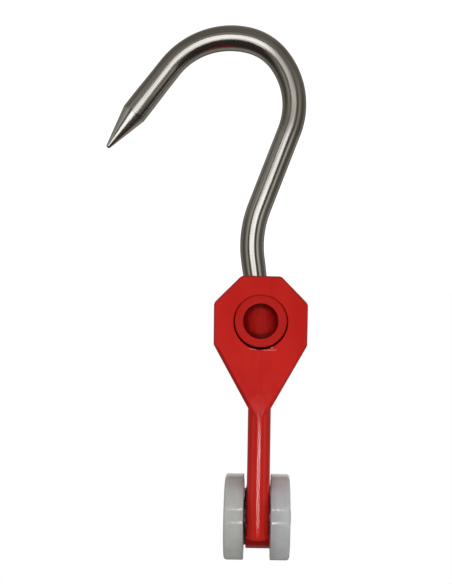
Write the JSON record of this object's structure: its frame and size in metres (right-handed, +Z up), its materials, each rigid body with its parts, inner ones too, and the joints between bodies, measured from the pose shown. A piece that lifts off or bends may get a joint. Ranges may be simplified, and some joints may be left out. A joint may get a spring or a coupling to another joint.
{
  "type": "rail trolley meat hook",
  "caption": "Overhead-rail trolley hook for meat: red nylon body on a pair of white nylon wheels, carrying a swinging, swivelling stainless rod hook with a ground point.",
  "frame": {"origin": "on the rail's running surface, midway between the lowest points of the two wheel treads", "axes": "+Z up as it hangs on the rail; Y along the rail, the rolling direction; X along the wheel axle, with the hook's point on the +X side at rest"},
  "size_m": [0.1022, 0.0422, 0.2687],
  "materials": {
    "red_nylon": "moulded signal-red nylon, semi-gloss",
    "white_nylon": "natural white nylon, turned, slightly translucent",
    "hook_steel": "drawn stainless rod, lightly scratched",
    "stainless_turned": "turned stainless steel",
    "bearing_steel": "ground bearing steel",
    "ball_steel": "polished balls",
    "shield_steel": "pressed steel shield",
    "cage_brass": "pressed cage",
    "washer_black": "black nylon distance washer",
    "spring_steel": "stainless spring steel",
    "nut_steel": "stainless lock nut",
    "nut_ring_nylon": "blue nylon locking ring"
  },
  "bodies": {
    "trolley": {"trolley_body": "red_nylon", "axle": "stainless_turned", "axle_circlips": "spring_steel", "axle_spacer_right": "washer_black", "axle_spacer_left": "stainless_turned", "bearing_inner_ring_right": "bearing_steel", "bearing_inner_ring_left": "bearing_steel"},
    "wheel_right": {"wheel_right": "white_nylon", "bearing_outer_ring_right": "bearing_steel", "bearing_shields_right": "shield_steel"},
    "wheel_left": {"wheel_left": "white_nylon", "bearing_outer_ring_left": "bearing_steel", "bearing_shields_left": "shield_steel"},
    "cage_right": {"bearing_cage_right": "cage_brass", "bearing_balls_right": "ball_steel"},
    "cage_left": {"bearing_cage_left": "cage_brass", "bearing_balls_left": "ball_steel"},
    "barrel": {"swivel_barrel": "red_nylon"},
    "hook": {"hook": "hook_steel", "thrust_washer": "stainless_turned", "lock_nut": "nut_steel", "lock_nut_ring": "nut_ring_nylon"}
  },
  "joints": [
    {"name": "wheel_right_spin", "type": "hinge", "parent": "trolley", "child": "wheel_right", "pos_m": [0.0119, 0, 0.0211], "axis": [1, 0, 0], "continuous": true},
    {"name": "wheel_left_spin", "type": "hinge", "parent": "trolley", "child": "wheel_left", "pos_m": [-0.011, 0, 0.0211], "axis": [1, 0, 0], "continuous": true},
    {"name": "cage_right_spin", "type": "hinge", "parent": "trolley", "child": "cage_right", "pos_m": [0.0116, 0, 0.0211], "axis": [1, 0, 0], "continuous": true},
    {"name": "cage_left_spin", "type": "hinge", "parent": "trolley", "child": "cage_left", "pos_m": [-0.0107, 0, 0.0211], "axis": [1, 0, 0], "continuous": true},
    {"name": "hook_swing", "type": "hinge", "parent": "trolley", "child": "barrel", "pos_m": [0, 0, -0.07805], "axis": [0, 1, 0], "range_deg": [-31.73, 48.27]},
    {"name": "hook_swivel", "type": "hinge", "parent": "barrel", "child": "hook", "pos_m": [0, 0, -0.07805], "axis": [-0.1438, 0, 0.9896], "continuous": true}
  ],
  "couplings": [
    {"joint": "cage_right_spin", "follows": "wheel_right_spin", "ratio": 0.6323},
    {"joint": "cage_left_spin", "follows": "wheel_left_spin", "ratio": 0.6323}
  ]
}
